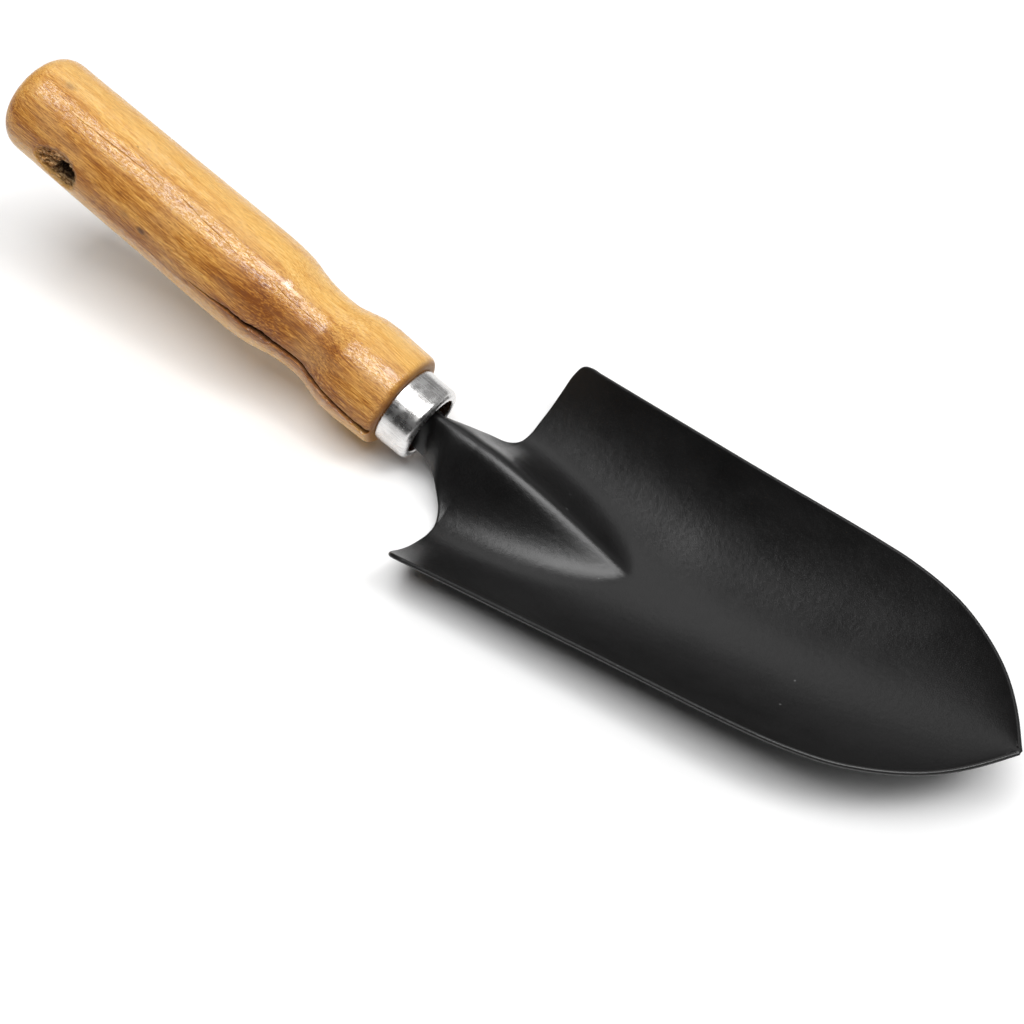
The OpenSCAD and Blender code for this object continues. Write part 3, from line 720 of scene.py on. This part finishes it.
def wood():
    t = Tree("varnished_wood")
    mm = t.vmath("SCALE", t.obj)
    t.t.nodes[-1].inputs["Scale"].default_value = 1000.0
    x, y, z = t.split(mm)
    # slow wander of the grain
    slow = t.noise(t.join(t.math("MULTIPLY", x, .018), t.math("MULTIPLY", y, .05), t.math("MULTIPLY", z, .05)), 1.0, 2.0, .5, 0, "Color")
    wob = t.vmath("MULTIPLY", t.vmath("SUBTRACT", slow, (.5, .5, .5)), (0, 4.0, 4.0))
    _, wy, wz = t.split(wob)
    gy, gz = t.math("ADD", y, wy), t.math("ADD", z, wz)
    fine = t.noise(t.join(t.math("MULTIPLY", x, .15), t.math("MULTIPLY", gy, 3.4), t.math("MULTIPLY", gz, 3.4)), 1.0, 6.0, .70)
    hairs = t.noise(t.join(t.math("MULTIPLY", x, .34), t.math("MULTIPLY", gy, 4.8), t.math("MULTIPLY", gz, 4.8)), 1.0, 4.0, .66)
    broad = t.noise(t.join(t.math("MULTIPLY", x, .022), t.math("MULTIPLY", gy, .42), t.math("MULTIPLY", gz, .42)), 1.0, 3.0, .55)
    cloud = t.noise(t.join(t.math("MULTIPLY", x, .06), t.math("MULTIPLY", y, .16), t.math("MULTIPLY", z, .16)), 1.0, 3.0, .5)
    # growth rings about a pith that lies outside the handle
    py = t.math("ADD", gy, 17.0)
    pz = t.math("ADD", t.math("ADD", gz, 31.0), t.math("MULTIPLY", x, .055))
    dist = t.math("SQRT", t.math("ADD", t.math("MULTIPLY", py, py), t.math("MULTIPLY", pz, pz)))
    ringn = t.math("MULTIPLY", t.math("ADD", dist, t.math("MULTIPLY", broad, 3.0)), .52)
    saw = t.math("FRACT", ringn)
    ring = t.math("MULTIPLY", t.range(saw, .25, .92), t.range(saw, 1.0, .93))
    grain = t.math("ADD", t.math("MULTIPLY", t.range(fine, .36, .64), .40), t.math("MULTIPLY", t.range(broad, .30, .72), .24))
    grain = t.math("ADD", grain, t.math("MULTIPLY", ring, .07))
    grain = t.math("ADD", grain, t.math("MULTIPLY", t.range(hairs, .38, .64), .30))
    # this attribute carries random tone of the wood and painted shade on the side band from the top round to the near
    # side
    tone_and_shade = t.attribute("tone_and_shade")
    grain = t.math("ADD", t.math("MULTIPLY", grain, t.math("ADD", .62, t.math("MULTIPLY", tone_and_shade, .45))), t.math("MULTIPLY", tone_and_shade, .42), clamp=True)
    col = t.ramp(grain, [(0.0, (.90, .600, .225)), (.26, (.77, .445, .120)), (.50, (.60, .285, .058)), (.76, (.38, .138, .020)), (1.0, (.20, .058, .009))])
    # mottled figure
    col = t.mix(t.math("MULTIPLY", t.range(cloud, .42, .72), .22), col, rgb(.74, .50, .24))
    # short dark pores
    pores = t.noise(t.join(t.math("MULTIPLY", x, .52), t.math("MULTIPLY", gy, 4.0), t.math("MULTIPLY", gz, 4.0)), 1.0, 4.0, .66)
    pore = t.math("MULTIPLY", t.range(pores, .54, .64), t.math("ADD", .40, tone_and_shade), clamp=True)
    col = t.mix(t.math("MULTIPLY", pore, .72), col, rgb(.17, .050, .010))
    # scattered specks, knots and smudges
    spots = None
    for cx, cy, cz, rad, amt in ((-79.6, -13.6, 4.4, 1.25, .85), (-77.6, -13.5, 4.1, .9, .5), (-85.9, -13.2, 5.0, 1.5, .28), (-126.0, 1.3, 13.2, .42, .85),
                                 (-124.9, 3.2, 13.4, .3, .5), (-119.5, .25, 14.0, 1.3, .42), (-118.3, .6, 14.0, 1.0, .25), (-94.2, -.8, 14.2, .35, .5)):
        dv = t.vmath("SUBTRACT", mm, (cx, cy, cz))
        dv = t.vmath("MULTIPLY", dv, (.55, 1.0, 1.0))
        ds = t.math("ADD", t.vmath("LENGTH", dv), t.math("MULTIPLY", t.math("SUBTRACT", fine, .5), 1.6 * rad))
        one = t.math("MULTIPLY", t.range(ds, rad, rad * .25), amt)
        spots = one if spots is None else t.math("MAXIMUM", spots, one)
    col = t.mix(spots, col, rgb(.085, .035, .014))
    # bare, weathered wood in the hole, the crack and the socket; the bore deep in the hole and the inside of the crack
    # are painted near black as shade
    hole = t.vmath("LENGTH", t.vmath("MULTIPLY", t.vmath("SUBTRACT", mm, (HOLE_X, 0, HOLE_Z)), (1, 0, 1)))
    in_hole = t.range(hole, 4.05, 3.75)
    torn = t.math("MAXIMUM", t.attribute("torn"), in_hole)
    raw = t.ramp(t.noise(t.join(t.math("MULTIPLY", x, .34), t.math("MULTIPLY", y, 1.0), t.math("MULTIPLY", z, 2.5)), 1.0, 5.0, .70),
                 [(.37, (.012, .005, .002)), (.445, (.070, .031, .012)), (.505, (.32, .175, .070)), (.585, (.72, .49, .26)), (.76, (.80, .60, .36))])
    col = t.mix(t.math("MULTIPLY", torn, .92), col, raw)
    # painted shade: deep inside the hole the bore is painted near black
    deep = t.math("MULTIPLY", in_hole, t.range(t.math("ABSOLUTE", y), 13.0, 10.0))
    col = t.mix(t.math("MULTIPLY", deep, .75), col, rgb(.012, .005, .003))
    col = t.mix(t.math("MULTIPLY", t.attribute("bare"), .85), col, rgb(.30, .16, .075))
    # darker along the margins of the crack
    col = t.mix(t.math("MULTIPLY", t.attribute("crack_margin"), .28), col, rgb(.20, .085, .035))
    # painted shade: the inside of the crack is painted near black to dark brown
    split = t.attribute("split")
    crack_inside_shade = t.mix(t.range(broad, .46, .66), rgb(.007, .0035, .0025), rgb(.060, .022, .014))
    col = t.mix(split, col, crack_inside_shade)
    col = t.mix(t.math("MULTIPLY", t.attribute("check"), .62), col, rgb(.17, .065, .022))
    # painted shade where the wood meets the ferrule: darker brown at the joint
    rr = t.math("SQRT", t.math("ADD", t.math("MULTIPLY", y, y), t.math("MULTIPLY", z, z)))
    collar_shade = t.math("MULTIPLY", t.range(x, -2.4, -.4), t.range(t.math("ADD", rr, fine), 14.9, 13.2))
    col = t.mix(t.math("MULTIPLY", collar_shade, .72), col, rgb(.24, .088, .020))
    t.put(t.bsdf, "Base Color", col)
    dry = t.math("MAXIMUM", t.math("MAXIMUM", torn, split), t.attribute("bare"))
    rough = t.math("ADD", t.math("ADD", .48, t.math("MULTIPLY", t.math("SUBTRACT", fine, .5), .30)), t.math("MULTIPLY", dry, .40), clamp=True)
    t.put(t.bsdf, "Roughness", rough)
    t.bsdf.inputs["IOR"].default_value = 1.48
    t.bsdf.inputs["Specular IOR Level"].default_value = 0.28
    t.bsdf.inputs["Subsurface Weight"].default_value = 0.0
    t.bsdf.inputs["Coat IOR"].default_value = 1.58
    fleck = t.range(t.noise(t.join(t.math("MULTIPLY", x, .9), t.math("MULTIPLY", gy, 3.2), t.math("MULTIPLY", gz, 3.2)), 1.0, 3.0, .6), .44, .60)
    ang = t.math("MULTIPLY", t.math("ARCTAN2", z, y), 57.29578)
    pools = None
    for cx, ca, lx, la in ((-40.5, 101.0, 7.5, 6.0), (-22.0, 113.0, 7.0, 5.0), (-4.6, 100.0, 2.2, 12.0), (-46.5, 105.0, 4.0, 3.0)):
        qx = t.math("DIVIDE", t.math("SUBTRACT", x, cx), lx)
        qa = t.math("DIVIDE", t.math("SUBTRACT", ang, ca), la)
        q = t.math("SQRT", t.math("ADD", t.math("MULTIPLY", qx, qx), t.math("MULTIPLY", qa, qa)))
        one = t.range(t.math("ADD", q, t.math("MULTIPLY", t.math("SUBTRACT", fine, .5), 1.5)), 1.1, .55)
        pools = one if pools is None else t.math("MAXIMUM", pools, one)
    gloss = t.math("ADD", .06, t.math("MULTIPLY", fleck, .95))
    gloss = t.math("MULTIPLY", gloss, t.math("SUBTRACT", 1.0, t.math("MULTIPLY", t.range(ang, 126.0, 148.0), .55)))
    gloss = t.math("MAXIMUM", gloss, pools)
    # less coat over the painted shade at the ferrule
    gloss = t.math("MULTIPLY", gloss, t.math("SUBTRACT", 1.0, t.math("MULTIPLY", collar_shade, .92)))
    t.put(t.bsdf, "Coat Weight", t.math("MULTIPLY", gloss, t.math("SUBTRACT", 1.0, dry, clamp=True), clamp=True))
    t.put(t.bsdf, "Coat Roughness", t.math("ADD", .05, t.math("MULTIPLY", t.range(fine, .35, .7), .08)))
    skin_h = t.math("ADD", t.math("MULTIPLY", fine, .55), t.math("MULTIPLY", hairs, .35))
    skin_h = t.math("SUBTRACT", skin_h, t.math("MULTIPLY", pore, .35))
    n1 = t.bump(skin_h, .00010, .55)
    grit = t.noise(mm, 2.6, 2.0, .6)
    n2 = t.bump(grit, .00006, .45, n1)
    rawh = t.noise(t.join(t.math("MULTIPLY", x, .34), t.math("MULTIPLY", y, 1.0), t.math("MULTIPLY", z, 2.5)), 1.0, 5.0, .7)
    n3 = t.bump(t.math("MULTIPLY", rawh, torn), .0013, .9, n2)
    t.put(t.bsdf, "Normal", n3)
    coat_h = t.math("ADD", t.math("MULTIPLY", grit, .5), t.math("MULTIPLY", fine, .7))
    n4 = t.bump(coat_h, .00009, .45)
    t.put(t.t.nodes[-1], "Strength", t.math("SUBTRACT", .45, t.math("MULTIPLY", pools, .33)))
    t.put(t.bsdf, "Coat Normal", n4)
    return t.mat


def steel():
    t = Tree("bright_steel")
    mm = t.vmath("SCALE", t.obj)
    t.t.nodes[-1].inputs["Scale"].default_value = 1000.0
    x, y, z = t.split(mm)
    ang = t.math("ARCTAN2", z, y)
    cx, cy = t.math("COSINE", ang), t.math("SINE", ang)
    lines = t.noise(t.join(t.math("MULTIPLY", x, .16), t.math("MULTIPLY", cx, 22.0), t.math("MULTIPLY", cy, 22.0)), 1.0, 5.0, .65)
    rings = t.noise(t.join(t.math("MULTIPLY", x, 6.0), t.math("MULTIPLY", cx, 1.6), t.math("MULTIPLY", cy, 1.6)), 1.0, 4.0, .6)
    blot = t.noise(mm, .32, 3.0, .55)
    col = t.ramp(t.math("ADD", t.math("MULTIPLY", blot, .5), t.math("MULTIPLY", lines, .5)), [(.34, (.50, .485, .475)), (.50, (.74, .73, .72)), (.64, (.84, .835, .83))])
    t.put(t.bsdf, "Base Color", col)
    t.bsdf.inputs["Metallic"].default_value = 1.0
    rough = t.math("ADD", t.math("ADD", .23, t.math("MULTIPLY", t.math("SUBTRACT", lines, .5), .20)), t.math("MULTIPLY", t.range(blot, .35, .7), .10))
    t.put(t.bsdf, "Roughness", rough)
    h = t.math("ADD", t.math("MULTIPLY", lines, .6), t.math("MULTIPLY", rings, .4))
    n1 = t.bump(h, .00003, .06)
    n2 = t.bump(blot, .0003, .05, n1)
    t.put(t.bsdf, "Normal", n2)
    return t.mat


def black():
    t = Tree("black_coating")
    mm = t.vmath("SCALE", t.obj)
    t.t.nodes[-1].inputs["Scale"].default_value = 1000.0
    peel = t.noise(mm, .60, 2.0, .45)
    fine = t.noise(mm, 4.2, 3.0, .6)
    wave = t.noise(mm, .11, 2.0, .5)
    speck_d = t.voronoi(mm, .16)
    speck_r = t.noise(mm, .16, 0.0, .5)
    speck = t.math("MULTIPLY", t.range(speck_d, .060, .025), t.range(speck_r, .50, .53))
    col = t.ramp(t.math("ADD", t.math("MULTIPLY", wave, .6), t.math("MULTIPLY", fine, .4)), [(.35, (.0030, .0028, .0029)), (.65, (.0058, .0055, .0056))])
    col = t.mix(t.math("MULTIPLY", speck, .75), col, rgb(.12, .12, .12))
    t.put(t.bsdf, "Base Color", col)
    t.put(t.bsdf, "Roughness", t.math("ADD", .335, t.math("MULTIPLY", t.math("SUBTRACT", wave, .5), .08)))
    t.bsdf.inputs["IOR"].default_value = 1.5
    n1 = t.bump(wave, .0008, .035)
    n2 = t.bump(peel, .00016, .34, n1)
    n3 = t.bump(fine, .00012, .35, n2)
    t.put(t.bsdf, "Normal", n3)
    return t.mat


def floor_material():
    t = Tree("pale_floor")
    n = t.noise(t.obj, 9.0, 3.0, .5)
    t.put(t.bsdf, "Base Color", t.mix(n, rgb(.865, .865, .865), rgb(.885, .885, .885)))
    t.put(t.bsdf, "Roughness", t.range(n, .3, .7, .62, .70))
    t.bsdf.inputs["IOR"].default_value = 1.3
    return t.mat


# ================================================================ build
blade = build_blade()
handle = build_handle()
ferrule = build_ferrule()
drop_flaps(blade)
drop_flaps(handle)
for ob, mat, node, slot in ((blade, black(), "blade", "black_coating"), (handle, wood(), "handle", "varnished_wood"), (ferrule, steel(), "ferrule", "bright_steel")):
    ob.data.materials.clear()
    ob.data.materials.append(mat)
    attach(ob, "root")
    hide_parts(node)

# ---------------------------------------------------------------- floor, light, camera
me = bpy.data.meshes.new("floor")
s = 4.0
me.from_pydata([(-s, -s, 0), (s, -s, 0), (s, s, 0), (-s, s, 0)], [], [(0, 1, 2, 3)])
floor = bpy.data.objects.new("floor", me)
scene.collection.objects.link(floor)
me.materials.append(floor_material())


def area(name, direction, distance, sx, sy, radiance, target=(0, 0, .02), roll=0.0):
    """A soft box that looks at the target from that direction, with that radiance."""
    d = Vector(direction).normalized()
    lt = bpy.data.lights.new(name, "AREA")
    lt.shape, lt.size, lt.size_y = "RECTANGLE", sx, sy
    lt.energy = radiance * math.pi * sx * sy
    ob = bpy.data.objects.new(name, lt)
    ob.location = Vector(target) + d * distance
    zax = d
    xax = Vector((1, 0, 0)) - d * d.x
    xax.normalize()
    yax = zax.cross(xax)
    m = Matrix((xax, yax, zax)).transposed().to_4x4()
    ob.matrix_world = Matrix.Translation(ob.location) @ m @ Matrix.Rotation(roll, 4, "Z")
    scene.collection.objects.link(ob)
    return ob


area("key_softbox", (.12, -.17, .98), 3.6, 2.76, 2.28, 7.0)
area("back_softbox", (-.40, .52, .76), 3.9, 2.52, 1.86, 1.0)
area("side_softbox", (.51, .12, .85), 3.9, 1.08, 1.20, 9.0)

world = bpy.data.worlds.new("studio")
scene.world = world
world.use_nodes = True
wt = world.node_tree
wt.nodes.clear()
wo = wt.nodes.new("ShaderNodeOutputWorld")
bg = wt.nodes.new("ShaderNodeBackground")
wt.links.new(bg.outputs[0], wo.inputs[0])
tc = wt.nodes.new("ShaderNodeTexCoord")
sep = wt.nodes.new("ShaderNodeSeparateXYZ")
wt.links.new(tc.outputs["Generated"], sep.inputs[0])


def wrange(v, a, b, lo, hi):
    n = wt.nodes.new("ShaderNodeMapRange")
    n.interpolation_type = "SMOOTHSTEP"
    wt.links.new(v, n.inputs[0])
    for i, k in enumerate((a, b, lo, hi)):
        n.inputs[1 + i].default_value = k
    return n.outputs[0]


def wmath(op, a, b):
    n = wt.nodes.new("ShaderNodeMath")
    n.operation = op
    for i, v in enumerate((a, b)):
        if isinstance(v, bpy.types.NodeSocket):
            wt.links.new(v, n.inputs[i])
        else:
            n.inputs[i].default_value = v
    return n.outputs[0]


side = wrange(sep.outputs[1], -.25, .80, .03, .34)
lp = wt.nodes.new("ShaderNodeLightPath")
wt.links.new(wmath("MAXIMUM", side, wmath("MULTIPLY", lp.outputs["Is Camera Ray"], .86)), bg.inputs["Strength"])
bg.inputs["Color"].default_value = (1, 1, 1, 1)

cam = bpy.data.cameras.new("camera")
cam.sensor_width, cam.lens = 36.0, 73.73
cam.clip_start, cam.clip_end = .01, 50
cam_ob = bpy.data.objects.new("camera", cam)
right, up, back = Vector((.78997, .61315, 0)), Vector((-.47215, .60831, .63799)), Vector((.39118, -.50399, .77005))
rot = Matrix((right, up, back)).transposed().to_4x4()
cam_ob.matrix_world = Matrix.Translation((.22116, -.27183, .41406)) @ rot
scene.collection.objects.link(cam_ob)
scene.camera = cam_ob
scene.view_settings.view_transform = "Standard"
scene.view_settings.look = "None"
